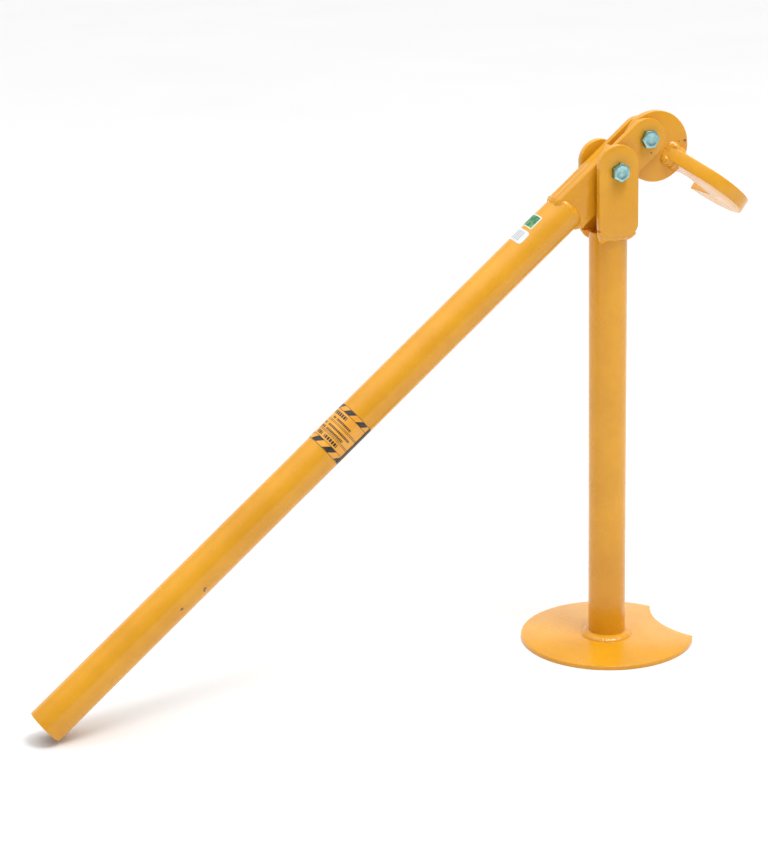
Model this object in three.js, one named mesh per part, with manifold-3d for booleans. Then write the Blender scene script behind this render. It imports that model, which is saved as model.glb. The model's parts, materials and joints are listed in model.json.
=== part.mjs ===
// A fence post lifter: a pedestal with a clevis head, a long lever pivoted in the clevis, and a
// hook on the short end of the lever that grips a steel post and lifts it out of the ground.
// Millimetres, +Z up. The origin is the middle of the base plate's underside. The lever works in
// the XZ plane: the handle lies towards -X, the hook towards +X.
import * as THREE from 'three';
import { mergeVertices } from 'three/addons/utils/BufferGeometryUtils.js';
import Module from 'manifold-3d';

const wasm = await Module();
wasm.setup();

// ---- driving dimensions ----
const GAP = 0.2;                  // air left between pieces that touch
const ROUND = 48;                 // facets round a tube

const BASE_R = 104;               // round base plate
const BASE_T = 5;
const BITE_X = 178;               // centre of the round bite in the base's front edge

const TUBE_R = 22.25;             // 44.5 mm steel tube, for both the post and the lever
const TUBE_WALL = 3.2;
const POST_TOP = 505;

const PIVOT_Z = 577.5;            // height of the main pivot bolt
const BAR_T = 8;                  // flat bar of the clevis ears and the fork plates
const EAR_W = 50;
const EAR_TOP = 608;
const EAR_BOTTOM = 502;
const EAR_CORNER = 13;
const CLEVIS_GAP = 38;            // between the inner faces of the ears

const BOLT_R = 6;                 // M12 bolts, nuts and washers
const HOLE_R = 6.5;
const HEX_FLATS = 19;
const HEAD_H = 7.5;
const NUT_H = 9;                  // the nut's hexagon
const COLLAR_H = 3;               // the turned collar that holds the nylon ring
const WASHER_R = 12;
const WASHER_T = 2.5;

const LEVER_L = 895;              // from the pivot to the handle's end
const LEVER_TUBE_START = 72;      // from the pivot back to the tube's cut end
const FORK_W = 45;
const FORK_DROP = 2;              // the fork's middle lies this far below the tube's axis
const FORK_GAP = 11;              // between the fork plates
const LINK_S = 54.5;              // the link bolt, along the lever and below the tube's axis
const LINK_DROP = 3;

const HOOK_SLOPE = 38;            // degrees that the hook points down at rest
const DISC_R = 41;                // link disc, bolted off its centre
const DISC_T = 10;
const DISC_OFFSET = 18.7;

const JAW_R = 52;                 // round jaw plate
const JAW_T = 16;
const JAW_RAISE = 4;              // its middle lies above the line from link bolt to disc centre
const JAW_CENTRE = 85.9;          // from the disc's centre
const JAW_ROOT = 15.9;            // where its two prongs begin on the disc's faces
const ROOT_HALF = 8;              // half its width there
const THROAT = [55.9, 99.9];      // the throat's two walls, from the disc's centre
const THROAT_FLOOR = 3;

const FOOT_WELD = 10;             // leg of the fillet round the post's foot
const EAR_WELD = 8;
const JAW_WELD = 6;

// ---- what follows from them ----
const leverRest = Math.asin(PIVOT_Z / Math.hypot(LEVER_L, TUBE_R)) - Math.atan2(TUBE_R, LEVER_L);
const hookRest = THREE.MathUtils.degToRad(HOOK_SLOPE);
const earHalf = EAR_W / 2;
const forkHalf = FORK_W / 2;
const earOuter = CLEVIS_GAP / 2 + BAR_T;
const forkOuter = FORK_GAP / 2 + BAR_T;
const hookTurn = leverRest + hookRest;     // from the lever's line to the hook's line
const discAlongLever = LINK_S + DISC_OFFSET * Math.cos(hookTurn);
const fillerEnd = discAlongLever - DISC_R - GAP;

// ---- materials ----
function material(color, roughness, metalness) {
  return new THREE.MeshStandardMaterial({ color, roughness, metalness });
}
const enamel = () => material(0xeda126, 0.25, 0);
const zinc = () => material(0xb4c6cc, 0.3, 0.9);
const nylon = () => material(0xdfe3e0, 0.55, 0);
const vinyl = () => material(0xe79a24, 0.45, 0);
const paper = () => material(0xf0f0ec, 0.5, 0);
const greenPaper = () => material(0x1f7a4c, 0.5, 0);

// ---- solids ----
function solid(geometry) {
  const bare = geometry.clone();
  bare.deleteAttribute('normal');
  bare.deleteAttribute('uv');
  const merged = mergeVertices(bare, 1e-3);
  return new wasm.Manifold(new wasm.Mesh({
    numProp: 3,
    vertProperties: new Float32Array(merged.attributes.position.array),
    triVerts: new Uint32Array(merged.index.array),
  }));
}

function geometryOf(manifold) {
  const mesh = manifold.getMesh();
  const geometry = new THREE.BufferGeometry();
  geometry.setAttribute('position', new THREE.BufferAttribute(mesh.vertProperties, 3));
  geometry.setIndex(new THREE.BufferAttribute(mesh.triVerts, 1));
  const flat = geometry.toNonIndexed();
  flat.computeVertexNormals();
  return flat;
}

function cut(geometry, ...tools) {
  return geometryOf(tools.reduce((rest, tool) => rest.subtract(solid(tool)), solid(geometry)));
}

function common(geometry, tool) {
  return geometryOf(solid(geometry).intersect(solid(tool)));
}

// A box from its lowest to its highest corner.
function box(x0, y0, z0, x1, y1, z1) {
  const geometry = new THREE.BoxGeometry(x1 - x0, y1 - y0, z1 - z0);
  return geometry.translate((x0 + x1) / 2, (y0 + y1) / 2, (z0 + z1) / 2);
}

// A ring or rod about the Z axis, from a closed profile of [radius, height] points that runs
// anticlockwise, with the radius to the right.
function turned(profile, facets = ROUND) {
  const points = [...profile, profile[0]].map(([r, z]) => new THREE.Vector2(r, z));
  return new THREE.LatheGeometry(points, facets).rotateX(Math.PI / 2);
}

function ring(inner, outer, z0, z1, facets = ROUND) {
  return turned([[inner, z0], [outer, z0], [outer, z1], [inner, z1]], facets);
}

function rod(radius, z0, z1, facets = ROUND) {
  const geometry = new THREE.CylinderGeometry(radius, radius, z1 - z0, facets);
  return geometry.rotateX(Math.PI / 2).translate(0, 0, (z0 + z1) / 2);
}

// Turns a piece made about Z so that it lies along +Y, or along +X.
const alongY = (geometry) => geometry.rotateX(-Math.PI / 2);
const alongX = (geometry) => geometry.rotateY(Math.PI / 2);

function circleHole(x, y, radius) {
  return new THREE.Path().absarc(x, y, radius, 0, 2 * Math.PI, true);
}

// A flat plate with its outline in the XZ plane, from y0 to y1.
function plateXZ(shape, y0, y1, curveSegments = 16) {
  const options = { depth: y1 - y0, bevelEnabled: false, curveSegments };
  return new THREE.ExtrudeGeometry(shape, options).rotateX(Math.PI / 2).translate(0, y1, 0);
}

function hexagon(acrossFlats, z0, z1) {
  return rod(acrossFlats / Math.sqrt(3), z0, z1, 6);
}

// A hexagon bolt along +Y: its head lies before y = 0 and its shank runs to y = length. The
// head's edges are turned down to a cone, as on a real one.
function boltGeometry(length, turn) {
  const flats = HEX_FLATS / 2;
  const corner = HEX_FLATS / Math.sqrt(3);
  const cone = turned([[0, -HEAD_H], [flats * 0.95, -HEAD_H], [corner, -HEAD_H + 1], [corner, 0], [0, 0]]);
  const head = solid(hexagon(HEX_FLATS, -HEAD_H, 0).rotateZ(turn)).intersect(solid(cone));
  const shank = turned([[0, -1], [BOLT_R, -1], [BOLT_R, length - 1.5], [BOLT_R - 1.2, length], [0, length]]);
  return alongY(geometryOf(head.add(solid(shank))));
}

// A self-locking nut along +Y from y = 0: hexagon, collar, and the seat of its nylon ring.
function nutGeometry(turn) {
  const top = NUT_H + COLLAR_H;
  const collarR = HEX_FLATS / 2 - 0.7;
  const body = solid(hexagon(HEX_FLATS, 0, NUT_H).rotateZ(turn)).add(solid(rod(collarR, NUT_H - 1, top)));
  const bore = solid(rod(BOLT_R + GAP, -1, top + 1));
  const seat = solid(rod(collarR - 1, NUT_H, top + 1));
  return alongY(geometryOf(body.subtract(bore).subtract(seat)));
}

function lockRingGeometry() {
  const outer = HEX_FLATS / 2 - 1.7 - GAP;
  return alongY(ring(BOLT_R + GAP, outer, NUT_H + GAP, NUT_H + COLLAR_H - 0.6));
}

const washerGeometry = () => alongY(ring(HOLE_R, WASHER_R, 0, WASHER_T));

// ---- assembly ----
const lifter = new THREE.Group();
const stand = new THREE.Group();
const lever = new THREE.Group();
const hook = new THREE.Group();
lifter.add(stand, lever, hook);
lever.position.set(0, 0, PIVOT_Z);
lever.rotation.y = -leverRest;
hook.position.set(
  LINK_S * Math.cos(leverRest) + LINK_DROP * Math.sin(leverRest),
  0,
  PIVOT_Z + LINK_S * Math.sin(leverRest) - LINK_DROP * Math.cos(leverRest),
);
hook.rotation.y = hookRest;

function add(group, name, geometry, look, y = 0) {
  const mesh = new THREE.Mesh(geometry, look());
  mesh.name = name;
  mesh.position.y = y;
  group.add(mesh);
  return mesh;
}

// A bolt, with its washer, nut and nylon ring, through two outer faces at -outer and +outer.
function addBolt(group, prefix, outer, length, x, z, turn) {
  const nutY = outer + WASHER_T + 2 * GAP;
  const pieces = [
    add(group, `${prefix}_bolt`, boltGeometry(length, turn), zinc, -outer - GAP),
    add(group, `${prefix}_washer`, washerGeometry(), zinc, outer + GAP),
    add(group, `${prefix}_nut`, nutGeometry(turn + 0.4), zinc, nutY),
    add(group, `${prefix}_lock_ring`, lockRingGeometry(), nylon, nutY),
  ];
  for (const piece of pieces) {
    piece.position.x = x;
    piece.position.z = z;
  }
}

// ---- the stand ----
function basePlate() {
  const plate = rod(BASE_R, 0, BASE_T, 2 * ROUND);
  const bite = rod(BASE_R, -1, BASE_T + 1, 2 * ROUND).translate(BITE_X, 0, 0);
  return cut(plate, bite);
}

// The post's top is cut away on two sides, where the ears lie against it.
function postTube() {
  const tube = ring(TUBE_R - TUBE_WALL, TUBE_R, BASE_T + GAP, POST_TOP);
  const seat = CLEVIS_GAP / 2 - GAP;
  const side = 2 * TUBE_R;
  const front = box(-side, -side, EAR_BOTTOM - GAP, side, -seat, POST_TOP + 1);
  const rear = box(-side, seat, EAR_BOTTOM - GAP, side, side, POST_TOP + 1);
  return cut(tube, front, rear);
}

function earOutline() {
  const shape = new THREE.Shape();
  const corner = earHalf - EAR_CORNER;
  shape.absarc(0, EAR_TOP - earHalf, earHalf, 0, Math.PI, false);
  shape.absarc(-corner, EAR_BOTTOM + EAR_CORNER, EAR_CORNER, Math.PI, 1.5 * Math.PI, false);
  shape.absarc(corner, EAR_BOTTOM + EAR_CORNER, EAR_CORNER, 1.5 * Math.PI, 2 * Math.PI, false);
  shape.closePath();
  shape.holes.push(circleHole(0, PIVOT_Z, HOLE_R));
  return shape;
}

function footWeld() {
  const r = TUBE_R + GAP;
  const z = BASE_T + GAP;
  const throat = FOOT_WELD * 0.45;
  return turned([[r, z], [r + FOOT_WELD, z], [r + throat, z + throat], [r, z + FOOT_WELD]]);
}

// The bead under an ear, round the part of the post that faces -Y (side = -1) or +Y (side = 1).
function earWeld(side) {
  const r = TUBE_R + GAP;
  const top = EAR_BOTTOM - GAP;
  const reach = earOuter - r;
  const bead = turned([[r, top - EAR_WELD], [r + reach * 0.8, top - EAR_WELD / 2], [r + reach, top], [r, top]]);
  const half = 18;
  return common(bead, box(-half, Math.min(0, side * 60), 0, half, Math.max(0, side * 60), PIVOT_Z));
}

const ear = earOutline();
add(stand, 'base_plate', basePlate(), enamel);
add(stand, 'post_tube', postTube(), enamel);
add(stand, 'base_weld', footWeld(), enamel);
add(stand, 'ear_front', plateXZ(ear, -earOuter, -CLEVIS_GAP / 2), enamel);
add(stand, 'ear_rear', plateXZ(ear, CLEVIS_GAP / 2, earOuter), enamel);
add(stand, 'ear_weld_front', earWeld(-1), enamel);
add(stand, 'ear_weld_rear', earWeld(1), enamel);
addBolt(stand, 'pivot', earOuter, 75, 0, PIVOT_Z, Math.PI / 6);
for (const [name, side] of [['front', -1], ['rear', 1]]) {
  const middle = side * (forkOuter + CLEVIS_GAP / 2) / 2;
  add(stand, `pivot_spacer_${name}_1`, washerGeometry(), zinc, middle - WASHER_T - GAP / 4).position.z = PIVOT_Z;
  add(stand, `pivot_spacer_${name}_2`, washerGeometry(), zinc, middle + GAP / 4).position.z = PIVOT_Z;
}

// ---- the lever: X runs along it towards the hook, from the pivot ----
function leverTube() {
  const tube = ring(TUBE_R - TUBE_WALL, TUBE_R, LEVER_TUBE_START, LEVER_L);
  return alongX(tube).rotateZ(Math.PI);
}

function forkOutline() {
  const shape = new THREE.Shape();
  shape.moveTo(-LEVER_TUBE_START + GAP, forkHalf - FORK_DROP);
  shape.lineTo(-LEVER_TUBE_START + GAP, -forkHalf - FORK_DROP);
  shape.absarc(LINK_S, -FORK_DROP, forkHalf, -Math.PI / 2, Math.PI / 2, false);
  shape.closePath();
  shape.holes.push(circleHole(0, 0, HOLE_R), circleHole(LINK_S, -LINK_DROP, HOLE_R));
  return shape;
}

// The block between the fork plates. The link disc's rim rests against its front end.
function fillerOutline() {
  const shape = new THREE.Shape();
  shape.moveTo(-LEVER_TUBE_START + GAP, forkHalf - FORK_DROP);
  shape.lineTo(-LEVER_TUBE_START + GAP, -forkHalf - FORK_DROP);
  shape.lineTo(fillerEnd, -forkHalf - FORK_DROP);
  shape.lineTo(fillerEnd, forkHalf - FORK_DROP);
  shape.closePath();
  shape.holes.push(circleHole(0, 0, HOLE_R));
  return shape;
}

// The weld that closes the tube's end beside the fork, on its -Y or +Y side.
function endWeld(side) {
  const x = -LEVER_TUBE_START + GAP;
  const r = TUBE_R - 0.3;
  const cap = alongX(turned([[0, x], [r, x], [r - 1.5, x + 4], [r - 5, x + 7], [0, x + 7]]));
  const near = forkOuter + GAP;
  return common(cap, box(-100, Math.min(side * near, side * 60), -60, 0, Math.max(side * near, side * 60), 60));
}

// The bead round the tube behind the fork's corners, on top (side = 1) or below.
function edgeWeld(side) {
  const x = -LEVER_TUBE_START;
  const r = TUBE_R + GAP;
  const bead = alongX(turned([[r, x], [r, x - 8], [r + 1.9, x - 4], [r + 2.3, x]]));
  const z = side * 60;
  return common(bead, box(-100, -forkOuter, Math.min(0, z), 0, forkOuter, Math.max(0, z)));
}

// A thin label on the tube: from start to end along it, and from angle a to b round it, where 0
// is the lever's upper side and positive turns towards -Y.
function tubeLabel(start, end, a, b, thickness) {
  const inner = TUBE_R + 0.06;
  const shape = new THREE.Shape();
  shape.absarc(0, 0, inner + thickness, a, b, false);
  shape.absarc(0, 0, inner, b, a, true);
  shape.closePath();
  const options = { depth: end - start, bevelEnabled: false, curveSegments: 24 };
  return alongX(new THREE.ExtrudeGeometry(shape, options).rotateZ(Math.PI)).translate(-end, 0, 0);
}

const fork = forkOutline();
add(lever, 'lever_tube', leverTube(), enamel);
add(lever, 'fork_plate_front', plateXZ(fork, -forkOuter, -FORK_GAP / 2), enamel);
add(lever, 'fork_plate_rear', plateXZ(fork, FORK_GAP / 2, forkOuter), enamel);
add(lever, 'fork_filler', plateXZ(fillerOutline(), -FORK_GAP / 2 + GAP, FORK_GAP / 2 - GAP), enamel);
add(lever, 'lever_weld_front', endWeld(-1), enamel);
add(lever, 'lever_weld_rear', endWeld(1), enamel);
add(lever, 'lever_weld_top', edgeWeld(1), enamel);
add(lever, 'lever_weld_bottom', edgeWeld(-1), enamel);
add(lever, 'label_band', tubeLabel(406, 460, -1.3, 2.45, 0.3), vinyl);
add(lever, 'sticker_white', tubeLabel(122, 140, -0.6, 0.7, 0.3), paper);
add(lever, 'sticker_green', tubeLabel(99, 118, -0.5, 0.55, 0.3), greenPaper);
addBolt(lever, 'link', forkOuter, 45, LINK_S, -LINK_DROP, leverRest);

// ---- the hook: X runs along it, from the link bolt through the disc's centre ----
function linkDisc() {
  const shape = new THREE.Shape().absarc(DISC_OFFSET, 0, DISC_R, 0, 2 * Math.PI, false);
  shape.holes.push(circleHole(0, 0, HOLE_R));
  return plateXZ(shape, -DISC_T / 2, DISC_T / 2, 2 * ROUND);
}

// A round plate with two prongs that straddle the disc, and a throat open towards +Y.
function jawPlate() {
  const root = DISC_OFFSET + JAW_ROOT;
  const middle = DISC_OFFSET + JAW_CENTRE;
  const run = Math.hypot(middle - root, ROOT_HALF);
  const lean = Math.asin(JAW_R / run) - Math.atan2(ROOT_HALF, middle - root);
  const tangent = Math.PI / 2 + lean;
  const outline = new THREE.Shape();
  outline.moveTo(root, ROOT_HALF);
  outline.lineTo(root, -ROOT_HALF);
  outline.absarc(middle, 0, JAW_R, -tangent, tangent, false);
  outline.closePath();
  const options = { depth: JAW_T, bevelEnabled: false, curveSegments: 64 };
  const blank = new THREE.ExtrudeGeometry(outline, options);
  const discSlot = box(0, -DISC_T / 2 - GAP, -1, DISC_OFFSET + DISC_R + GAP, DISC_T / 2 + GAP, JAW_T + 1);
  return cut(blank, discSlot, jawThroat()).translate(0, 0, JAW_RAISE - JAW_T / 2);
}

// The throat's inner corner on the disc's side is round, the other one nearly square.
function jawThroat() {
  const [near, far] = THROAT.map((distance) => DISC_OFFSET + distance);
  const inner = 10;
  const outer = 3;
  const shape = new THREE.Shape();
  shape.moveTo(far, 2 * JAW_R);
  shape.lineTo(near, 2 * JAW_R);
  shape.absarc(near + inner, THROAT_FLOOR + inner, inner, Math.PI, 1.5 * Math.PI, false);
  shape.absarc(far - outer, THROAT_FLOOR + outer, outer, 1.5 * Math.PI, 2 * Math.PI, false);
  shape.closePath();
  const options = { depth: JAW_T + 2, bevelEnabled: false, curveSegments: 10 };
  return new THREE.ExtrudeGeometry(shape, options).translate(0, 0, -1);
}

// A fillet bead between a face of the disc and the jaw plate's upper (1) or lower (-1) face.
function jawWeld(side, level) {
  const y = DISC_T / 2 + GAP;
  const z = JAW_T / 2 + GAP;
  const leg = JAW_WELD;
  const shape = new THREE.Shape([
    new THREE.Vector2(y, z),
    new THREE.Vector2(y + leg, z),
    new THREE.Vector2(y + leg * 0.6, z + leg * 0.6),
    new THREE.Vector2(y, z + leg),
  ]);
  const options = { depth: 20, bevelEnabled: false };
  const bead = solid(new THREE.ExtrudeGeometry(shape, options).rotateX(Math.PI / 2).rotateZ(Math.PI / 2));
  const placed = bead.scale([1, side, level]).translate([DISC_OFFSET + JAW_ROOT, 0, JAW_RAISE]);
  return geometryOf(placed);
}

add(hook, 'link_disc', linkDisc(), enamel);
add(hook, 'jaw_plate', jawPlate(), enamel);
for (const [side, across] of [['front', -1], ['rear', 1]]) {
  for (const [face, level] of [['top', 1], ['bottom', -1]]) {
    add(hook, `jaw_weld_${side}_${face}`, jawWeld(across, level), enamel);
  }
}

export default lifter;
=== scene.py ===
"""The looks of a fence post lifter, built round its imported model.

Sizes are in millimetres and become metres in make(). The stand is built in the model's own
frame. The lever and the hook are built in frames of their own, whose X runs along them.
"""
import json
import math

import bmesh
import bpy
from mathutils import Matrix, Vector, noise


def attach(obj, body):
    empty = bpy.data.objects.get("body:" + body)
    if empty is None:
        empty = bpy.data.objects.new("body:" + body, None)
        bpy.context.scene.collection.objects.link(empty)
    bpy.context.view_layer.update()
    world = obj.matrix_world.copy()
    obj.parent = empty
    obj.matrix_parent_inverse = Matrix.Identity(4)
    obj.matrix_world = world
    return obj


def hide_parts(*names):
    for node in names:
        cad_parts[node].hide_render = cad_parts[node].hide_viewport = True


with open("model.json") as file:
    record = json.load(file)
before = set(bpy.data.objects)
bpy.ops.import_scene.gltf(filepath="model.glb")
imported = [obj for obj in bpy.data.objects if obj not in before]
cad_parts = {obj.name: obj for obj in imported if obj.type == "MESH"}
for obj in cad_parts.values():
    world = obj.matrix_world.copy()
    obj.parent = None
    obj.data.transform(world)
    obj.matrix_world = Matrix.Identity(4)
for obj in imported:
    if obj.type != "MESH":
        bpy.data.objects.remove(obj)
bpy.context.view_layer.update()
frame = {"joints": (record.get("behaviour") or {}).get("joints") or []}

# ---- sizes, as in the model ----
BASE_R, BASE_T, BITE_X = 104, 5, 178
TUBE_R, TUBE_BORE = 22.25, 19.05
POST_TOP = 505
BAR_T = 8
EAR_W, EAR_TOP, EAR_BOTTOM, EAR_CORNER = 50, 608, 502, 13
CLEVIS_HALF = 19
BOLT_R, HOLE_R = 6, 6.5
HEX_FLATS, HEAD_H, NUT_H, COLLAR_H = 19, 7.5, 9, 3
WASHER_R, WASHER_T = 12, 2.5
LEVER_L, LEVER_TUBE_START = 895, 72
FORK_W, FORK_DROP, FORK_HALF_GAP = 45, 2, 5.5
LINK_S, LINK_DROP = 54.5, 3
FILLER_END = 17.6
HOOK_SLOPE = math.radians(38)
DISC_R, DISC_T, DISC_OFFSET = 41, 10, 18.7
JAW_R, JAW_T, JAW_RAISE, JAW_MIDDLE = 52, 16, 4, 104.6
JAW_ROOT, ROOT_HALF = 34.6, 8
THROAT_NEAR, THROAT_FAR, THROAT_FLOOR = 74.6, 118.6, 3
PIVOT_BOLT_L, LINK_BOLT_L = 75, 45

EAR_OUTER = CLEVIS_HALF + BAR_T
FORK_OUTER = FORK_HALF_GAP + BAR_T
SIDES = ((-1, "front"), (1, "rear"))

# ---- sizes that only the looks have ----
THREAD_PITCH = 1.75
HEX_RIM = HEX_FLATS * 0.47               # where the cone that trims a hexagon's corners starts
STRIPE_PITCH, STRIPE_START = 19.5, 6.25  # of the label's slanted stripes
ALL_ROUND = (-40, 70)                    # reaches past the label's ends, round the tube
PRONG_FLARE = 0.87                       # how much a prong widens for each unit of its length

# ---- where the moving parts are ----
PLACES = {joint["name"]: Vector(joint["pos_m"]) for joint in frame["joints"]}
PIVOT, LINK = PLACES["lever_pivot"], PLACES["hook_pivot"]
LEVER_TILT = math.atan2(LINK.z - PIVOT.z, LINK.x - PIVOT.x) + math.atan2(LINK_DROP, LINK_S)
STAND = Matrix.Identity(4)
LEVER = Matrix.Translation(PIVOT) @ Matrix.Rotation(-LEVER_TILT, 4, "Y")
HOOK = Matrix.Translation(LINK) @ Matrix.Rotation(HOOK_SLOPE, 4, "Y")

ALONG_Y = Matrix.Rotation(-math.pi / 2, 4, "X")      # turns a piece made along Z to lie along +Y
ALONG_X = Matrix.Rotation(math.pi / 2, 4, "Y")       # the same, to lie along +X
UPRIGHT = Matrix.Rotation(math.pi / 2, 4, "X")       # turns a plate's outline from XY to XZ
PIVOT_Z = PIVOT.z * 1000


def shift(x=0.0, y=0.0, z=0.0):
    return Matrix.Translation((x, y, z))


# ---- materials ----
class Nodes:
    """Short ways to add nodes to a tree and link them."""

    def __init__(self, tree):
        self.tree = tree

    def add(self, kind, inputs=None, **settings):
        node = self.tree.nodes.new("ShaderNode" + kind)
        for key, value in settings.items():
            setattr(node, key, value)
        for key, value in (inputs or {}).items():
            if isinstance(value, bpy.types.NodeSocket):
                self.tree.links.new(value, node.inputs[key])
            else:
                node.inputs[key].default_value = value
        return node

    def math(self, operation, a, b=0.0):
        return self.add("Math", {0: a, 1: b}, operation=operation).outputs[0]

    def scale(self, value, low, high, to_low=0.0, to_high=1.0, **settings):
        inputs = {"Value": value, "From Min": low, "From Max": high,
                  "To Min": to_low, "To Max": to_high}
        return self.add("MapRange", inputs, **settings).outputs[0]


class Look(Nodes):
    """A material being made."""

    def __init__(self, name, **sockets):
        self.material = bpy.data.materials.new(name)
        self.material.use_nodes = True
        super().__init__(self.material.node_tree)
        self.shader = self.tree.nodes["Principled BSDF"]
        self.position = self.add("TexCoord").outputs["Object"]
        for socket, value in sockets.items():
            self.shader.inputs[socket.replace("_", " ")].default_value = value

    def noise(self, scale, detail=2.0, rough=0.5, distortion=0.0):
        inputs = {"Vector": self.position, "Scale": scale, "Detail": detail,
                  "Roughness": rough, "Distortion": distortion}
        return self.add("TexNoise", inputs).outputs["Fac"]

    def mix(self, share, a, b):
        node = self.add("Mix", data_type="RGBA")
        for index, value in ((0, share), (6, a), (7, b)):
            if isinstance(value, bpy.types.NodeSocket):
                self.tree.links.new(value, node.inputs[index])
            else:
                node.inputs[index].default_value = value if index == 0 else (*value, 1)
        return node.outputs[2]

    def between(self, value, low, high):
        above = self.math("GREATER_THAN", value, low)
        return self.math("MULTIPLY", above, self.math("LESS_THAN", value, high))

    def spot(self, centre, radius):
        """1 inside a small ball round a point in millimetres, with an uneven edge."""
        where = self.add("VectorMath", {0: self.position, 1: [c / 1000 for c in centre]},
                         operation="DISTANCE").outputs["Value"]
        uneven = self.scale(self.noise(900, 2), 0.3, 0.7, 0.6, 1.4)
        return self.math("LESS_THAN", where, self.math("MULTIPLY", uneven, radius / 1000))

    def set(self, socket, value):
        self.tree.links.new(value, self.shader.inputs[socket])

    def bump(self, *layers):
        """Adds (height, strength, distance) layers of bump, one on another."""
        normal = None
        for height, strength, distance in layers:
            inputs = {"Height": height, "Strength": strength, "Distance": distance}
            if normal is not None:
                inputs["Normal"] = normal
            normal = self.add("Bump", inputs).outputs["Normal"]
        self.set("Normal", normal)


CHIPS_ABOVE = 0.765      # paint is off where the wear noise is higher than this


def enamel(name, spots=(), ripple=0.0):
    """Glossy orange-yellow paint: uneven tone, orange peel, and a few chips down to the steel."""
    look = Look(name, Roughness=0.2, IOR=1.45, Coat_Weight=0.2, Coat_Roughness=0.05)
    tone = look.scale(look.noise(14, 3, 0.6), 0.35, 0.65)
    orange, yellow, brown = (0.70, 0.312, 0.011), (0.78, 0.362, 0.015), (0.60, 0.25, 0.014)
    grime = look.scale(look.noise(55, 6, 0.7, 0.4), 0.56, 0.8, 0.0, 0.35)
    colour = look.mix(grime, look.mix(tone, orange, yellow), brown)
    edge = look.scale(look.add("NewGeometry").outputs["Pointiness"], 0.5, 0.62, 0.0, 0.07)
    wear = look.math("ADD", look.noise(130, 7, 0.62), edge)
    chips = look.math("GREATER_THAN", wear, CHIPS_ABOVE)
    for centre, radius in spots:
        chips = look.math("MAXIMUM", chips, look.spot(centre, radius))
    steel = look.mix(look.noise(700, 2), (0.10, 0.055, 0.03), (0.23, 0.17, 0.13))
    look.set("Base Color", look.mix(chips, colour, steel))
    gloss = look.scale(look.noise(38, 5, 0.65), 0.3, 0.75, 0.15, 0.34)
    look.set("Roughness", look.math("MAXIMUM", gloss, look.math("MULTIPLY", chips, 0.6)))
    look.bump((look.noise(330, 2), 0.08, 0.0005),
              (look.noise(34, 3), 0.11 + ripple, 0.0016),
              (look.math("SUBTRACT", 1.0, chips), 0.5, 0.0004))
    return look.material


def zinc(name):
    """Bright zinc plate with its bluish passivation."""
    look = Look(name, Metallic=1.0, Roughness=0.3)
    film = look.scale(look.noise(160, 4, 0.6, 1.0), 0.38, 0.62)
    colour = look.mix(film, (0.25, 0.49, 0.50), (0.42, 0.65, 0.66))
    dull = look.scale(look.noise(420, 5, 0.7), 0.55, 0.75, 0.0, 0.6)
    look.set("Base Color", look.mix(dull, colour, (0.30, 0.38, 0.38)))
    look.set("Roughness", look.scale(look.noise(600, 4), 0.3, 0.7, 0.22, 0.46))
    look.bump((look.noise(1500, 3), 0.12, 0.0002), (look.noise(240, 2), 0.1, 0.0005))
    return look.material


def nylon():
    """The milky plastic of a nut's lock ring."""
    look = Look("nylon", Roughness=0.5, Subsurface_Weight=0.15, Subsurface_Radius=(0.002,) * 3)
    tone = look.scale(look.noise(500, 3), 0.3, 0.7)
    look.set("Base Color", look.mix(tone, (0.62, 0.68, 0.72), (0.74, 0.79, 0.80)))
    look.set("Roughness", look.scale(look.noise(900, 3), 0.3, 0.7, 0.42, 0.62))
    look.bump((look.noise(1800, 2), 0.15, 0.0002),)
    return look.material


def round_tube(look):
    """A point's place along the lever, and how far it lies round the tube towards -Y, in metres."""
    axes = look.add("SeparateXYZ", {0: look.position}).outputs
    angle = look.math("ARCTAN2", look.math("MULTIPLY", axes[1], -1.0), axes[2])
    return axes[0], look.math("MULTIPLY", angle, TUBE_R / 1000)


def ink(look, along, across, marks):
    """1 inside any of the marks, each (from, to along the lever; from, to round it) in mm."""
    total = 0.0
    for x0, x1, s0, s1 in marks:
        inside = look.math("MULTIPLY", look.between(along, x0 / 1000, x1 / 1000),
                           look.between(across, s0 / 1000, s1 / 1000))
        total = look.math("MAXIMUM", inside, total)
    return total


def blocks(look, along, across, pitch, rows):
    """Rows of equal small blocks, where a printed label would have its wording."""
    block = look.math("GREATER_THAN", look.math("PINGPONG", across, pitch / 2000), pitch / 8000)
    return look.math("MULTIPLY", block, ink(look, along, across, rows))


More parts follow.
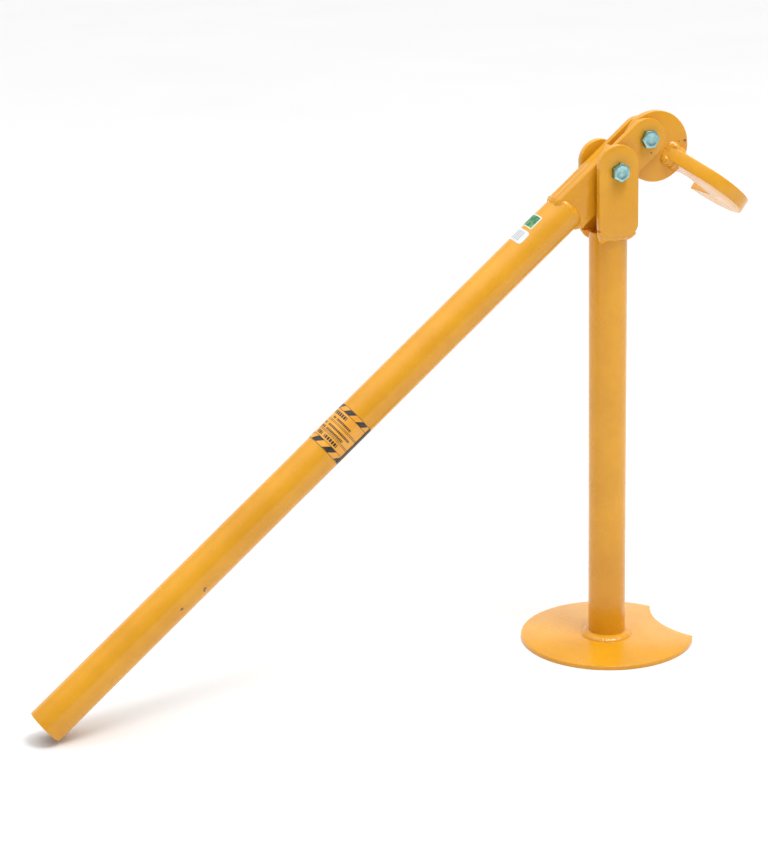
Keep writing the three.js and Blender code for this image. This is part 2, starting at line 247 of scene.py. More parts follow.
def vinyl():
    """A printed band: slanted stripes along both edges, thin rules, and rows of plain blocks."""
    look = Look("vinyl", Roughness=0.35, Coat_Weight=0.2, Coat_Roughness=0.12)
    along, across = round_tube(look)
    slant = look.math("SUBTRACT", look.math("SUBTRACT", across, along), STRIPE_START / 1000)
    zigzag = look.math("PINGPONG", slant, STRIPE_PITCH / 2000)
    stripe = look.math("GREATER_THAN", zigzag, STRIPE_PITCH * 0.26 / 1000)
    ends = ink(look, along, across, [(-459.2, -451.6, *ALL_ROUND), (-413.6, -406.8, *ALL_ROUND)])
    striped = look.math("MULTIPLY", stripe, ends)
    rules = [(x, x + 0.55, *ALL_ROUND)
             for x in (-459.9, -451.9, -443.8, -442.3, -429.8, -428.3, -413.6, -406.7)]
    border = [(-461, -405, 46.5, 56)]
    large = blocks(look, along, across, 3.4, [
        (-449.6, -445.4, -1.5, 8.6), (-449.6, -445.4, 12, 32.2), (-420.4, -416, -8.5, 18.6)])
    small = blocks(look, along, across, 2.0, [
        (-441, -438.2, -6, 5), (-441, -438.2, 7, 33), (-435.8, -433, -10, 1),
        (-435.8, -433, 5, 39), (-426, -423.2, 2, 7), (-426, -423.2, 9, 31)])
    printed = look.math("MAXIMUM", look.math("MAXIMUM", large, small),
                        ink(look, along, across, rules + border))
    dark = look.math("MAXIMUM", striped, printed)
    tone = look.scale(look.noise(40, 4), 0.3, 0.7)
    ground = look.mix(tone, (0.80, 0.34, 0.025), (0.88, 0.41, 0.04))
    fading = look.scale(look.noise(220, 4), 0.4, 0.8)
    faded = look.mix(fading, (0.012, 0.014, 0.012), (0.07, 0.05, 0.03))
    look.set("Base Color", look.mix(dark, ground, faded))
    look.set("Roughness", look.scale(look.noise(120, 4), 0.3, 0.7, 0.28, 0.48))
    look.bump((look.noise(90, 3), 0.15, 0.0006), (dark, 0.2, 0.0001))
    return look.material


def paper():
    """A small white sticker with a few plain grey bars."""
    look = Look("paper", Roughness=0.45, Coat_Weight=0.15)
    along, across = round_tube(look)
    bars = [(-137.5, -124.5, s, s + 1.1) for s in (-6.0, -3.2, -0.4, 2.4, 5.2, 8.0)]
    white = look.mix(look.noise(60, 4), (0.60, 0.65, 0.64), (0.80, 0.83, 0.83))
    look.set("Base Color", look.mix(ink(look, along, across, bars), white, (0.30, 0.30, 0.31)))
    look.set("Roughness", look.scale(look.noise(260, 3), 0.3, 0.7, 0.36, 0.55))
    look.bump((look.noise(130, 3), 0.15, 0.0005),)
    return look.material


def green_paper():
    """A small green sticker with a pale edge."""
    look = Look("green_paper", Roughness=0.45, Coat_Weight=0.2)
    along, across = round_tube(look)
    field = ink(look, along, across, [(-116.6, -100.6, -9.5, 10.6)])
    tone = look.scale(look.noise(130, 3, 0.6, 1.2), 0.42, 0.6)
    leaf = look.mix(tone, (0.008, 0.15, 0.075), (0.12, 0.33, 0.09))
    pale = look.mix(look.noise(90, 4), (0.55, 0.68, 0.62), (0.78, 0.82, 0.70))
    look.set("Base Color", look.mix(field, pale, leaf))
    look.set("Roughness", look.scale(look.noise(260, 3), 0.3, 0.7, 0.36, 0.55))
    look.bump((look.noise(130, 3), 0.15, 0.0005),)
    return look.material


# Chips in the paint: each one's centre in its piece's own frame, and its radius.
DISC_SPOTS = [((45.8, -5, 25.8), 1.5), ((31.7, -5, 14.5), 0.9), ((39.8, -5, 21.1), 0.8)]
FORK_SPOTS = [((47.2, -13.5, -18.3), 1.1)]
JAW_SPOTS = [((73.7, 2.1, -4), 0.9), ((78.8, -2.5, -4), 0.8)]
LEVER_SPOTS = [((-696, -21.5, -5), 1.8), ((-662, -21, -7.4), 1.7), ((-664, -20.2, -9.3), 1.5)]

LOOKS = {
    "enamel": enamel("enamel"),
    "enamel_disc": enamel("enamel_disc", DISC_SPOTS),
    "enamel_fork": enamel("enamel_fork", FORK_SPOTS),
    "enamel_jaw": enamel("enamel_jaw", JAW_SPOTS),
    "enamel_lever": enamel("enamel_lever", LEVER_SPOTS),
    "enamel_weld": enamel("enamel_weld", ripple=0.25),
    "zinc": zinc("zinc"),
    "nylon": nylon(),
    "vinyl": vinyl(),
    "paper": paper(),
    "green_paper": green_paper(),
}


# ---- outlines ----
def arc(x, y, radius, start, end, steps):
    """Points on an arc, as sharp corners of an outline. Angles are in radians."""
    angles = [start + (end - start) * i / steps for i in range(steps + 1)]
    return [(x + radius * math.cos(a), y + radius * math.sin(a), 0) for a in angles]


def rounded(corners):
    """A closed outline from (x, y, radius) corners."""
    points = []
    for index, (x, y, radius) in enumerate(corners):
        corner = Vector((x, y))
        if radius <= 0:
            points.append(corner)
            continue
        before = (Vector(corners[index - 1][:2]) - corner).normalized()
        after = (Vector(corners[(index + 1) % len(corners)][:2]) - corner).normalized()
        half = before.angle(after) / 2
        centre = corner + (before + after).normalized() * radius / math.sin(half)
        start = corner + before * radius / math.tan(half) - centre
        end = corner + after * radius / math.tan(half) - centre
        turn = math.atan2(start.x * end.y - start.y * end.x, start.dot(end))
        steps = max(3, round(abs(turn) / math.radians(9)))
        for i in range(steps + 1):
            points.append(centre + Matrix.Rotation(turn * i / steps, 2) @ start)
    return points


def circle(x, y, radius, steps=64):
    return [Vector(point[:2]) for point in arc(x, y, radius, 0, 2 * math.pi, steps)[:-1]]


def outward(loop):
    """For each point of a loop, the step that moves its two sides one unit to the right."""
    steps = []
    for index, point in enumerate(loop):
        to = (point - loop[index - 1]).normalized()
        away = (loop[(index + 1) % len(loop)] - point).normalized()
        total = Vector((to.y + away.y, -to.x - away.x))
        steps.append(total / max(total.length_squared / 2, 0.5))
    return steps


# ---- meshes ----
def skin(bm, rings, closed=False):
    """Faces between rings of vertices, where a ring of one vertex is a pole."""
    for low, high in zip(rings, rings[1:] + (rings[:1] if closed else [])):
        count = max(len(low), len(high))
        for i in range(count):
            j = (i + 1) % count
            corners = [low[i % len(low)], low[j % len(low)],
                       high[j % len(high)], high[i % len(high)]]
            corners = list(dict.fromkeys(corners))
            if len(corners) > 2:
                bm.faces.new(corners).smooth = True


def plate(loops, low, high, edge=0.9, steps=3):
    """A flat plate from low to high with rounded edges: an outline, then its holes."""
    bm = bmesh.new()
    quarter = [math.pi / 2 * i / steps for i in range(steps + 1)]
    levels = [(edge * (1 - math.sin(a)), low + edge * (1 - math.cos(a))) for a in quarter]
    levels += [(edge * (1 - math.sin(a)), high - edge * (1 - math.cos(a))) for a in quarter[::-1]]
    rims = {0: [], -1: []}
    for index, loop in enumerate(loops):
        area = sum(loop[i - 1].cross(loop[i]) for i in range(len(loop)))
        if (area > 0) != (index == 0):
            loop = loop[::-1]
        moves = outward(loop)
        rings = []
        for inset, z in levels:
            places = [p - m * inset for p, m in zip(loop, moves)]
            rings.append([bm.verts.new((p.x, p.y, z)) for p in places])
        skin(bm, rings)
        for level, edges in rims.items():
            ring = rings[level]
            edges += [bm.edges.get((ring[i - 1], ring[i])) for i in range(len(ring))]
    for edges in rims.values():
        made = bmesh.ops.triangle_fill(bm, use_beauty=True, use_dissolve=False, edges=edges)
        for item in made["geom"]:
            if isinstance(item, bmesh.types.BMFace):
                item.smooth = False
    return bm


def turned(profile, segments=96, closed=True):
    """A piece made by turning a profile of (radius, height) points about Z."""
    bm = bmesh.new()
    rings = []
    for radius, z in profile:
        angles = [2 * math.pi * i / segments for i in range(segments if radius else 1)]
        spots = [(radius * math.cos(a), radius * math.sin(a), z) for a in angles]
        rings.append([bm.verts.new(spot) for spot in spots])
    skin(bm, rings, closed)
    return bm


def ring(inner, outer, low, high, edge, segments=96):
    corners = [(inner, low), (outer, low), (outer, high), (inner, high)]
    return turned([tuple(p) for p in rounded([(r, z, edge) for r, z in corners])], segments)


def make(name, bm, frame_matrix, body, look, replaced, before=None, sharp=35):
    """Turns a mesh in millimetres into a piece that rides on a body and replaces its nodes."""
    if before is not None:
        bm.transform(before)
    bm.transform(Matrix.Scale(0.001, 4))
    bmesh.ops.recalc_face_normals(bm, faces=bm.faces[:])
    mesh = bpy.data.meshes.new(name)
    bm.to_mesh(mesh)
    bm.free()
    mesh.set_sharp_from_angle(angle=math.radians(sharp))
    piece = bpy.data.objects.new(name, mesh)
    bpy.context.scene.collection.objects.link(piece)
    piece.matrix_world = frame_matrix
    mesh.materials.append(LOOKS[look])
    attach(piece, body)
    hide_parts(*replaced)
    return piece


def painted(name, bm, frame_matrix, body, node, before=None, look="enamel"):
    return make(name, bm, frame_matrix, body, look, [node], before)


# ---- fasteners, made along Z and then turned to lie along +Y ----
def hex_reach(angle):
    """How far the hexagon's side is from its middle, in the direction of an angle."""
    return HEX_FLATS / 2 / math.cos(angle % (math.pi / 3) - math.pi / 6)


def rings_of(bm, shapes, segments):
    """Rings of vertices from functions that give (radius, height) at an angle."""
    rings = []
    for shape in shapes:
        spots = []
        for i in range(segments):
            angle = 2 * math.pi * i / segments
            radius, z = shape(angle)
            spots.append(bm.verts.new((radius * math.cos(angle), radius * math.sin(angle), z)))
        rings.append(spots)
    return rings


def flat_ring(radius, z):
    """A round ring at one height."""
    return lambda angle: (radius, z)


def hex_ring(inset, face, inwards):
    """A ring on the hexagon where a 30 degree cone from the given face cuts it."""
    def shape(angle):
        reach = hex_reach(angle)
        drop = max(0.0, reach - HEX_RIM) * math.tan(math.radians(30)) + inset
        return reach - inset * 0.4, face + inwards * drop
    return shape


def thread_ring(z, start, end):
    """A ring of a helical thread between start and end, where it fades in and out."""
    fade = max(0.0, min(1.0, (z - start) / 2, (end - z) / 1.2))

    def shape(angle):
        turn = (z / THREAD_PITCH - angle / (2 * math.pi)) % 1
        groove = max(0.0, min(1.0, 1.35 * abs(2 * turn - 1) - 0.12))
        return BOLT_R - 0.05 - 0.95 * fade * groove, z
    return shape


def bolt(length, threaded, segments=96):
    """A bolt whose head lies from -HEAD_H to 0, with a dished face and a bearing ring under it."""
    bm = bmesh.new()
    face, start = -HEAD_H, length - threaded
    dish = [flat_ring(3.5, face + 0.32), flat_ring(6.4, face + 0.26), flat_ring(7.1, face)]
    head = [flat_ring(HEX_RIM, face), hex_ring(0.05, face, 1), hex_ring(0.5, face, 1),
            lambda a: (hex_reach(a), -1.0), lambda a: (hex_reach(a) - 0.35, -0.45)]
    bearing = [flat_ring(9.1, -0.45), flat_ring(9.0, 0)]
    shank = [flat_ring(BOLT_R, 0), flat_ring(BOLT_R, start)]
    steps = round(threaded / THREAD_PITCH * 8)
    thread = [thread_ring(start + threaded * i / steps, start, length - 1)
              for i in range(1, steps - 4)]
    point = [flat_ring(BOLT_R - 0.5, length - 0.9), flat_ring(BOLT_R - 1.3, length - 0.1),
             flat_ring(BOLT_R - 1.8, length)]
    rings = rings_of(bm, dish + head + bearing + shank + thread + point, segments)
    skin(bm, [[bm.verts.new((0, 0, face + 0.34))], *rings, [bm.verts.new((0, 0, length))]])
    return bm


def nut(segments=96):
    """A lock nut: a hexagon with a round collar on it, rolled in over the nylon ring."""
    bm = bmesh.new()
    collar = HEX_FLATS / 2 - 0.7
    top = NUT_H + COLLAR_H
    bore = BOLT_R + 0.15
    hexagon = [flat_ring(bore, 0.7), flat_ring(bore + 0.7, 0), flat_ring(HEX_RIM, 0),
               hex_ring(0.05, 0, 1), hex_ring(0.5, 0, 1), hex_ring(0.5, NUT_H, -1),
               hex_ring(0.05, NUT_H, -1), flat_ring(HEX_RIM, NUT_H)]
    wall = [flat_ring(collar, NUT_H + 0.05), flat_ring(collar, top - 1.2),
            flat_ring(collar - 0.35, top - 0.4), flat_ring(collar - 1.1, top),
            flat_ring(collar - 1.7, top - 0.25), flat_ring(collar - 1.8, NUT_H + 0.6)]
    shapes = hexagon + wall + [flat_ring(bore, NUT_H + 0.5)]
    skin(bm, rings_of(bm, shapes, segments), closed=True)
    return bm


def washer():
    return ring(HOLE_R, WASHER_R, 0, WASHER_T, 0.5)


def fasten(body, frame_matrix, prefix, outer, length, x, z, turn):
    """A bolt with its washer, nut and nylon ring, through faces at -outer and +outer."""
    nut_y = outer + WASHER_T + 0.2
    lock_ring = ring(BOLT_R + 0.05, HEX_FLATS / 2 - 2.4, NUT_H + 0.4, NUT_H + COLLAR_H - 0.5, 0.5)
    pieces = [
        ("bolt", bolt(length, length - 2 * outer - 2), -outer, turn, "zinc"),
        ("washer", washer(), outer + 0.05, 0, "zinc"),
        ("nut", nut(), nut_y, turn + 0.4, "zinc"),
        ("lock_ring", lock_ring, nut_y, 0, "nylon"),
    ]
    for part, bm, y, about, slot in pieces:
        node = f"{prefix}_{part}"
        before = shift(x, y, z) @ ALONG_Y @ Matrix.Rotation(about, 4, "Z")
        make(node + "_look", bm, frame_matrix, body, slot, [node], before)


# ---- weld beads ----
def bead(stations, closed=False, pitch=3.0, ripple=0.06, lumps=0.2, seed=0, lobes=12):
    """A rippled bead along stations of (corner, out, up, leg out, leg up).

    The corner is where two faces meet, and each leg is how far the bead reaches along one of them.
    """
    bm = bmesh.new()
    rings, run, last = [], 0.0, None
    drift = Vector((seed * 7.3, seed * 3.1, seed * 5.7))
    for corner, out, up, leg_out, leg_up in stations:
        run += 0 if last is None else (corner - last).length
        last = corner
        spots = [bm.verts.new(corner - (out + up) * 0.7)]
        for k in range(lobes + 1):
            t = k / lobes
            bow = 2.2 * (1 - (2 * t - 1) ** 2)      # a ripple's middle lags behind its ends
            wave = abs(math.sin(math.pi * (run + bow) / pitch)) - 0.6
            coarse = noise.noise(corner * 0.11 + drift)
            fine = noise.noise(corner * 0.35 + drift * 2)
            size = 1 + ripple * wave + lumps * (coarse + 0.35 * fine)
            a = t * math.pi / 2
            along_out = out * (leg_out * size * math.cos(a) ** 1.2 - 0.35 * t)
            along_up = up * (leg_up * size * math.sin(a) ** 1.2 - 0.35 * (1 - t))
            spots.append(bm.verts.new(corner + along_out + along_up))
        rings.append(spots)
    skin(bm, rings, closed)
    if not closed:
        for end in (rings[0], rings[-1]):
            bm.faces.new(end)
    return bm


def swell(t, reach=0.12):
    """How full a bead is at t along it, from 0 to 1: round at both ends."""
    near = min(t, 1 - t, reach) / reach
    return 0.25 + 0.75 * math.sqrt(1 - (1 - near) ** 2)


def hump(t, middle, width, height):
    """How much a lump with its top at middle adds to a bead at t."""
    return height * math.exp(-((t - middle) / width) ** 2)


def ring_stations(radius, z, leg_out, leg_up, count=300):
    """All round the foot of an upright tube."""
    for i in range(count):
        a = 2 * math.pi * i / count
        out = Vector((math.cos(a), math.sin(a), 0))
        yield out * radius + Vector((0, 0, z)), out, Vector((0, 0, 1)), leg_out, leg_up


def ear_stations(side, spread=0.92, count=90):
    """Under an ear, out past its outer face, filling one of its corners and leaving the other."""
    for i in range(count + 1):
        t = i / count
        a = side * math.pi / 2 + spread * (2 * t - 1)
        out = Vector((math.cos(a), math.sin(a), 0))
        to_face = (EAR_OUTER + 0.8) / abs(out.y)
        to_edge = (EAR_W / 2 + 0.5) / max(abs(out.x), 0.1)
        reach = min(to_face, to_edge) - TUBE_R
        beyond = min(EAR_CORNER, max(0.0, abs(out.x) * (TUBE_R + reach) - EAR_W / 2 + EAR_CORNER))
        rise = (1 - t) * min(6.0, EAR_CORNER - math.sqrt(EAR_CORNER ** 2 - beyond ** 2))
        lump = 1 + hump(t, 0.12, 0.1, 0.3) + hump(t, 0.9, 0.08, 0.2)
        full = swell(t, 0.05)
        corner = out * TUBE_R + Vector((0, 0, EAR_BOTTOM + 1.8 + rise))
        yield corner, out, Vector((0, 0, -1)), (reach - 3 * t) * full, (7.5 * lump + rise) * full


def tube_end_stations(side, count=60):
    """Round the tube behind the fork's corners, on its upper (1) or lower (-1) side."""
    spread = math.asin((FORK_OUTER + 2) / TUBE_R)
    for i in range(count + 1):
        t = i / count
        a = side * math.pi / 2 + spread * (2 * t - 1)
        out = Vector((0, math.cos(a), math.sin(a)))
        corner = out * (TUBE_R - 0.6) + Vector((-LEVER_TUBE_START, 0, 0))
        lump = 1 + hump(t, 0.15, 0.12, 0.6) + hump(t, 0.85, 0.1, 0.4)
        yield corner, out, Vector((-1, 0, 0)), 2.3 * lump * swell(t, 0.1), 6 * swell(t, 0.1)


def jaw_stations(side, level, count=70):
    """Along a prong's upper (1) or lower (-1) edge on the disc's face, and round its end."""
    y = side * DISC_T / 2
    v = JAW_RAISE + level * JAW_T / 2
    out, radius = Vector((0, side, 0)), 3.0
    straight, drop = 17.0, JAW_T / 2 - radius + 1.0
    leg_out, leg_up = (6.5, 6.0) if level > 0 else (7.5, 6.8)
    length = straight + radius * math.pi / 2 + drop
    for i in range(count + 1):
        t = i / count
        s = t * length
        if s < straight:
            corner, up = Vector((JAW_ROOT + radius + straight - s, y, v)), Vector((0, 0, level))
        elif s < length - drop:
            a = (s - straight) / radius
            up = Vector((-math.sin(a), 0, level * math.cos(a)))
            corner = Vector((JAW_ROOT + radius, y, v - level * radius)) + up * radius
        else:
            corner = Vector((JAW_ROOT, y, v - level * (radius + s - length + drop)))
            up = Vector((-1, 0, 0))
        prong = ROOT_HALF + max(0.0, corner.x - JAW_ROOT) * PRONG_FLARE - DISC_T / 2
        past_corner = min(1.0, max(0.0, s - straight) / 5)
        full = swell(t, 0.1) if t < 0.5 else 1.0 - 0.28 * past_corner
        yield corner, out, up, min(leg_out, prong + 1) * full, leg_up * full


def end_cap(side, steps=7):
    """The weld that closes the tube's end beside the fork, as a lumpy dome cut by the fork."""
    x, rim = -LEVER_TUBE_START, TUBE_R - 0.4
    profile = [(0, x - 1), (TUBE_R - 0.6, x - 1), (TUBE_R - 0.1, x), (rim, x + 2)]
    for i in range(1, steps + 1):
        a = math.pi / 2 * i / steps
        profile.append((rim - 8 * (1 - math.cos(a)), x + 2 + 6 * math.sin(a)))
    profile += [(9, x + 8.2), (4, x + 8.3), (0, x + 8.3)]
    bm = turned(profile, 160, closed=False)
    bm.transform(ALONG_X)
    plane = Vector((0, side * (FORK_OUTER - 0.4), 0))
    everything = bm.verts[:] + bm.edges[:] + bm.faces[:]
    cut = bmesh.ops.bisect_plane(bm, geom=everything, plane_co=plane, plane_no=(0, -side, 0),
                                 clear_outer=True)
    open_edges = [item for item in cut["geom_cut"] if isinstance(item, bmesh.types.BMEdge)]
    bmesh.ops.triangle_fill(bm, use_beauty=True, edges=open_edges)
    for vert in bm.verts:
        if vert.co.x > x + 0.5 and abs(vert.co.y) > FORK_OUTER:
            lump = noise.noise(vert.co * 0.22 + Vector((side * 9, 0, 0)))
            ripple = abs(math.sin(math.atan2(vert.co.y, vert.co.z) * 9))
            vert.co.x += 1.3 * lump + 0.5 * ripple
    return bm


# ---- the stand ----
def bite_outline():
    """The round base plate's outline, with the round bite in its front edge."""
    meet = math.acos(BITE_X / 2 / BASE_R)
    rim = arc(0, 0, BASE_R, meet, 2 * math.pi - meet, 180)
    bite = arc(BITE_X, 0, BASE_R, math.pi + meet, math.pi - meet, 40)
    (x0, y0, _), (x1, y1, _) = rim[0], rim[-1]
    return rounded([(x0, y0, 0.8), *rim[1:-1], (x1, y1, 0.8), *bite[1:-1]])


def post():
    """The upright tube, its top cut away on two sides where the ears lie against it."""
    bm = ring(TUBE_BORE, TUBE_R, BASE_T, EAR_BOTTOM, 0.4, 160)
    half = math.asin((CLEVIS_HALF - 0.1) / TUBE_R)
    for middle in (0, math.pi):
        outer = arc(0, 0, TUBE_R, middle - half, middle + half, 40)
        inner = arc(0, 0, TUBE_BORE, middle + half, middle - half, 40)
        tab = plate([rounded(outer + inner)], EAR_BOTTOM - 0.6, POST_TOP, 0.5)
        mesh = bpy.data.meshes.new("tab")
        tab.to_mesh(mesh)
        tab.free()
        bm.from_mesh(mesh)
        bpy.data.meshes.remove(mesh)
    return bm


def ear_outline():
    half = EAR_W / 2
    top = arc(0, EAR_TOP - half, half, 0, math.pi, 56)
    return rounded(top + [(-half, EAR_BOTTOM, EAR_CORNER), (half, EAR_BOTTOM, EAR_CORNER)])


painted("base_plate_look", plate([bite_outline()], 0, BASE_T, 0.7), STAND, "stand", "base_plate")
painted("post_tube_look", post(), STAND, "stand", "post_tube")
foot_weld = bead(ring_stations(TUBE_R, BASE_T, 9.2, 5.4), True, pitch=3.24, ripple=0.025, seed=1)
painted("base_weld_look", foot_weld, STAND, "stand", "base_weld", look="enamel_weld")
ear = [ear_outline(), circle(0, PIVOT_Z, HOLE_R)]
for side, word in SIDES:
    inner, outer = sorted((side * CLEVIS_HALF, side * EAR_OUTER))
    painted(f"ear_{word}_look", plate(ear, -outer, -inner, 1.0), STAND, "stand", f"ear_{word}",
            UPRIGHT)
    weld = bead(ear_stations(side), pitch=6, ripple=0.05, lumps=0.2, seed=3 + side)
    painted(f"ear_weld_{word}_look", weld, STAND, "stand", f"ear_weld_{word}", look="enamel_weld")
    spacer = side * (FORK_OUTER + CLEVIS_HALF) / 2
    for number, y in ((1, spacer - WASHER_T - 0.05), (2, spacer + 0.05)):
        node = f"pivot_spacer_{word}_{number}"
        make(node + "_look", washer(), STAND, "stand", "zinc", [node],
             shift(0, y, PIVOT_Z) @ ALONG_Y)
fasten("stand", STAND, "pivot", EAR_OUTER, PIVOT_BOLT_L, 0, PIVOT_Z, math.pi / 6)


# ---- the lever ----
def fork_outline(filler=False):
    """A side plate of the fork, or the shorter block that lies between the plates."""
    half = FORK_W / 2
    back, top, foot = -LEVER_TUBE_START + 0.2, half - FORK_DROP, -half - FORK_DROP
    if filler:
        top, foot = top - 0.1, foot + 0.6
        nose = [(FILLER_END, foot, 0), (FILLER_END, top, 0)]
    else:
        nose = arc(LINK_S, -FORK_DROP, half, -math.pi / 2, math.pi / 2, 56)
    return rounded([(back, top, 1.5), (back, foot, 1.5), *nose])


def label(x0, x1, a0, a1, corner, thickness=0.22):
    """A thin patch that lies on the tube, with rounded corners. Angles start on its upper side."""
    bm = bmesh.new()
    rows = 40 + round(60 * (a1 - a0))
    rings = []
    for i in range(rows + 1):
        ease = (1 - math.cos(math.pi * i / rows)) / 2
        angle = a0 + (a1 - a0) * ease
        from_end = min(angle - a0, a1 - angle) * TUBE_R
        cut = corner - math.sqrt(max(0.0, corner ** 2 - max(0.0, corner - from_end) ** 2))
        corners = [(x0 + cut, 0.02), (x0 + cut + 0.05, thickness),
                   (x1 - cut - 0.05, thickness), (x1 - cut, 0.02)]
        across, up = -math.sin(angle), math.cos(angle)
        rings.append([bm.verts.new((x, (TUBE_R + h) * across, (TUBE_R + h) * up))
                      for x, h in corners])
    skin(bm, rings)
    for end in (rings[0], rings[-1]):
        bm.faces.new(end)
    return bm


painted("lever_tube_look", ring(TUBE_BORE, TUBE_R, LEVER_TUBE_START, LEVER_L, 0.7, 160), LEVER,
        "lever", "lever_tube", Matrix.Rotation(math.pi, 4, "Z") @ ALONG_X, "enamel_lever")
pivot_hole, link_hole = circle(0, 0, HOLE_R), circle(LINK_S, -LINK_DROP, HOLE_R)
for (side, word), level in zip(SIDES, ("bottom", "top")):
    inner, outer = sorted((side * FORK_HALF_GAP, side * FORK_OUTER))
    fork_plate = plate([fork_outline(), pivot_hole, link_hole], -outer, -inner, 0.6)
    painted(f"fork_plate_{word}_look", fork_plate, LEVER, "lever", f"fork_plate_{word}", UPRIGHT,
            "enamel_fork")
    painted(f"lever_weld_{word}_look", end_cap(side), LEVER, "lever", f"lever_weld_{word}",
            look="enamel_weld")
    weld = bead(tube_end_stations(side), lumps=0.4, seed=8 + side)
    painted(f"lever_weld_{level}_look", weld, LEVER, "lever", f"lever_weld_{level}",
            look="enamel_weld")
filler = plate([fork_outline(filler=True), pivot_hole], -FORK_HALF_GAP, FORK_HALF_GAP, 0.2)
painted("fork_filler_look", filler, LEVER, "lever", "fork_filler", UPRIGHT)
for node, slot, edges, corner in (("label_band", "vinyl", (-460, -406, -1.3, 2.45), 1),
                                  ("sticker_white", "paper", (-140, -122, -0.6, 0.7), 4),
                                  ("sticker_green", "green_paper", (-118, -99, -0.5, 0.55), 2)):
    make(node + "_look", label(*edges, corner), LEVER, "lever", slot, [node])
fasten("lever", LEVER, "link", FORK_OUTER, LINK_BOLT_L, LINK_S, -LINK_DROP, LEVER_TILT)


# ---- the hook ----
def jaw_outline():
    """One prong, round the disc's slot to the other, and round the plate by way of its throat."""
    run = math.hypot(JAW_MIDDLE - JAW_ROOT, ROOT_HALF)
    lean = math.asin(JAW_R / run) - math.atan2(ROOT_HALF, JAW_MIDDLE - JAW_ROOT)
    touch = math.pi / 2 + lean
    far = math.acos((THROAT_FAR - JAW_MIDDLE) / JAW_R)
    near = math.acos((THROAT_NEAR - JAW_MIDDLE) / JAW_R)
    slot, slot_end = DISC_T / 2 + 0.2, DISC_OFFSET + DISC_R + 0.2
    rim = arc(JAW_MIDDLE, 0, JAW_R, -touch, far, 120)
    tip_far, tip_near = [(JAW_MIDDLE + JAW_R * math.cos(a), JAW_R * math.sin(a), 1.2)
                         for a in (far, near)]
    end = arc(JAW_MIDDLE, 0, JAW_R, touch, touch, 1)[:1]
    return rounded([
        (JAW_ROOT, -slot, 1.05), (JAW_ROOT, -ROOT_HALF, 1.25), *rim[:-1], tip_far,
        (THROAT_FAR, THROAT_FLOOR, 3), (THROAT_NEAR, THROAT_FLOOR, 10), tip_near, *end,
        (JAW_ROOT, ROOT_HALF, 1.25), (JAW_ROOT, slot, 1.05), (slot_end, slot, 0.6),
        (slot_end, -slot, 0.6)])


disc = [circle(DISC_OFFSET, 0, DISC_R, 144), circle(0, 0, HOLE_R)]
painted("link_disc_look", plate(disc, -DISC_T / 2, DISC_T / 2, 0.9), HOOK, "hook", "link_disc",
        UPRIGHT, "enamel_disc")
painted("jaw_plate_look", plate([jaw_outline()], JAW_RAISE - JAW_T / 2, JAW_RAISE + JAW_T / 2, 1.0),
        HOOK, "hook", "jaw_plate", look="enamel_jaw")
for side, word in SIDES:
    for level, place in ((1, "top"), (-1, "bottom")):
        node = f"jaw_weld_{word}_{place}"
        weld = bead(jaw_stations(side, level), pitch=5.5, ripple=0.12, lumps=0.42,
                    seed=2 * side + level + 20)
        painted(node + "_look", weld, HOOK, "hook", node, look="enamel_weld")


# ---- the setting ----
def floor():
    """A wide pale disc under the tool."""
    look = Look("floor", Roughness=0.9)
    tone = look.scale(look.noise(1.5, 3), 0.3, 0.7)
    look.set("Base Color", look.mix(tone, (0.82, 0.82, 0.82), (0.84, 0.84, 0.84)))
    bm = bmesh.new()
    bmesh.ops.create_circle(bm, cap_ends=True, segments=96, radius=30)
    mesh = bpy.data.meshes.new("floor")
    bm.to_mesh(mesh)
    bm.free()
    mesh.materials.append(look.material)
    piece = bpy.data.objects.new("floor", mesh)
    bpy.context.scene.collection.objects.link(piece)


def softbox(name, place, target, size, power):
    """A round soft lamp that faces a target."""
    light = bpy.data.lights.new(name, "AREA")
    light.shape = "DISK"
    light.size = size
    light.energy = power
    lamp = bpy.data.objects.new(name, light)
    lamp.location = place
    lamp.rotation_euler = (Vector(target) - Vector(place)).to_track_quat("-Z", "Y").to_euler()
    bpy.context.scene.collection.objects.link(lamp)


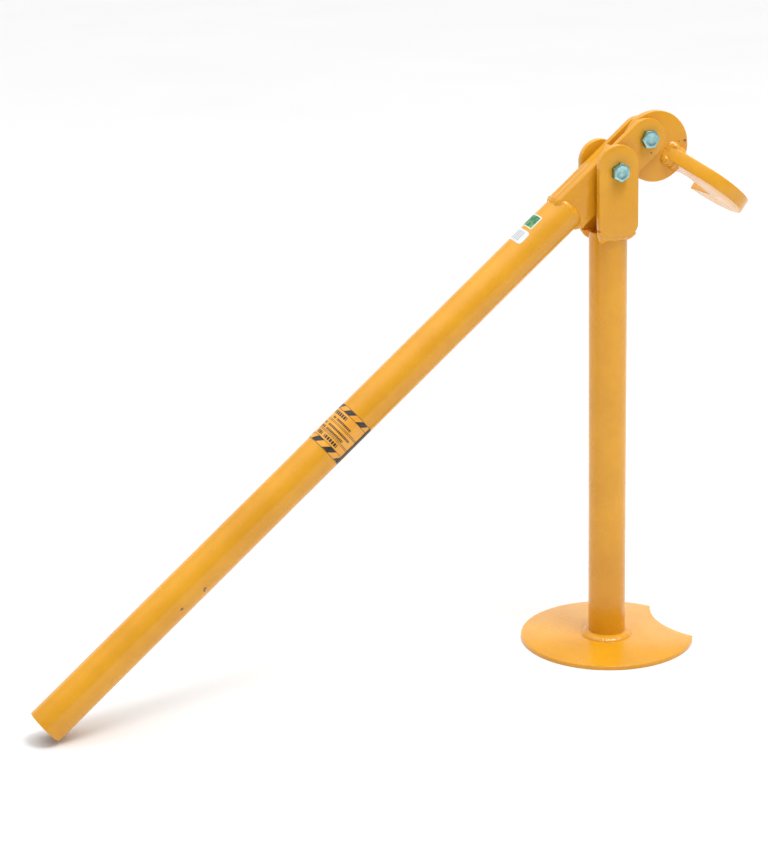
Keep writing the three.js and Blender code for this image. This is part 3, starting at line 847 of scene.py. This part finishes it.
def sky():
    """A white room: a bright low wall behind the tool, and brighter again overhead."""
    world = bpy.data.worlds.new("sky")
    world.use_nodes = True
    nodes = Nodes(world.node_tree)
    direction = nodes.add("TexCoord").outputs["Generated"]
    behind = nodes.add("VectorMath", {0: direction, 1: (0.37, 0.93, 0.0)},
                       operation="DOT_PRODUCT").outputs["Value"]
    height = nodes.add("SeparateXYZ", {0: direction}).outputs[2]
    wall = nodes.scale(behind, -0.25, 0.6, 0.3, 1.0, interpolation_type="SMOOTHSTEP")
    fade = nodes.scale(height, 0.39, 0.47, 1.0, 0.05, interpolation_type="SMOOTHSTEP")
    overhead = nodes.math("POWER", nodes.math("MAXIMUM", height, 0.0), 3.0)
    total = nodes.math("ADD", nodes.math("MULTIPLY", wall, fade),
                       nodes.math("MULTIPLY", overhead, 2.5))
    background = world.node_tree.nodes["Background"]
    background.inputs["Color"].default_value = (1, 1, 1, 1)
    world.node_tree.links.new(total, background.inputs["Strength"])
    bpy.context.scene.world = world


def camera():
    """Looks down at the tool from its front left, with the handle's end nearest."""
    distance, height, azimuth = 2.5036, 1.043, math.radians(-27.6)
    yaw, pitch, roll = math.radians(21.53), math.radians(17.27), math.radians(-1.60)
    place = Vector((distance * math.sin(azimuth), -distance * math.cos(azimuth), height))
    level = Vector((math.cos(yaw), -math.sin(yaw), 0))
    ahead = math.cos(pitch) * Vector((math.sin(yaw), math.cos(yaw), 0))
    ahead.z = -math.sin(pitch)
    above = level.cross(ahead)
    right = math.cos(roll) * level + math.sin(roll) * above
    up = -math.sin(roll) * level + math.cos(roll) * above
    data = bpy.data.cameras.new("camera")
    data.sensor_width, data.lens = 36, 91.67
    data.clip_start, data.clip_end = 0.05, 100
    eye = bpy.data.objects.new("camera", data)
    eye.matrix_world = Matrix.Translation(place) @ Matrix((right, up, -ahead)).transposed().to_4x4()
    bpy.context.scene.collection.objects.link(eye)
    bpy.context.scene.camera = eye


floor()
camera()
sky()
softbox("key", (0.3, -1.1, 3.9), (-0.2, 0, 0.2), 1.3, 56)
softbox("glint", (0.77, -1.28, 2.6), (0, 0, 0.2), 0.12, 4)
bpy.context.scene.view_settings.view_transform = "Standard"
